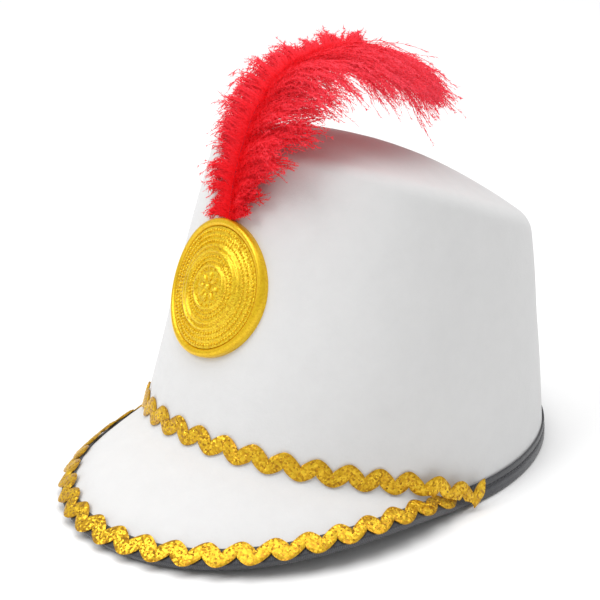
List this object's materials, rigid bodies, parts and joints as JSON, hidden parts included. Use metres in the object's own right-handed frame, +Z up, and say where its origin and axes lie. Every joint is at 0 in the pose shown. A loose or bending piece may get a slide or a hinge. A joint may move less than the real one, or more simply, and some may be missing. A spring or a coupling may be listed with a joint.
{
  "type": "shako hat",
  "caption": "Moulded felt shako with a short peak, bound edge, ric-rac braid, round front medallion and an arching plume.",
  "frame": {"origin": "centre of the bounding box's base, on the surface that the hat rests on", "axes": "+Z up, front and peak towards -Y, the wearer's left towards +X"},
  "size_m": [0.1725, 0.2447, 0.1851],
  "materials": {
    "white_felt": "matte stiffened felt",
    "black_tape": "woven grosgrain tape",
    "gold_braid": "glittering lurex braid",
    "gold_plastic": "gold glitter in moulded plastic",
    "red_feather": "dyed ostrich feather"
  },
  "bodies": {
    "root": {"crown_and_peak": "white_felt", "edge_binding": "black_tape", "crown_braid": "gold_braid", "peak_braid": "gold_braid", "medallion": "gold_plastic", "plume": "red_feather"}
  },
  "joints": []
}
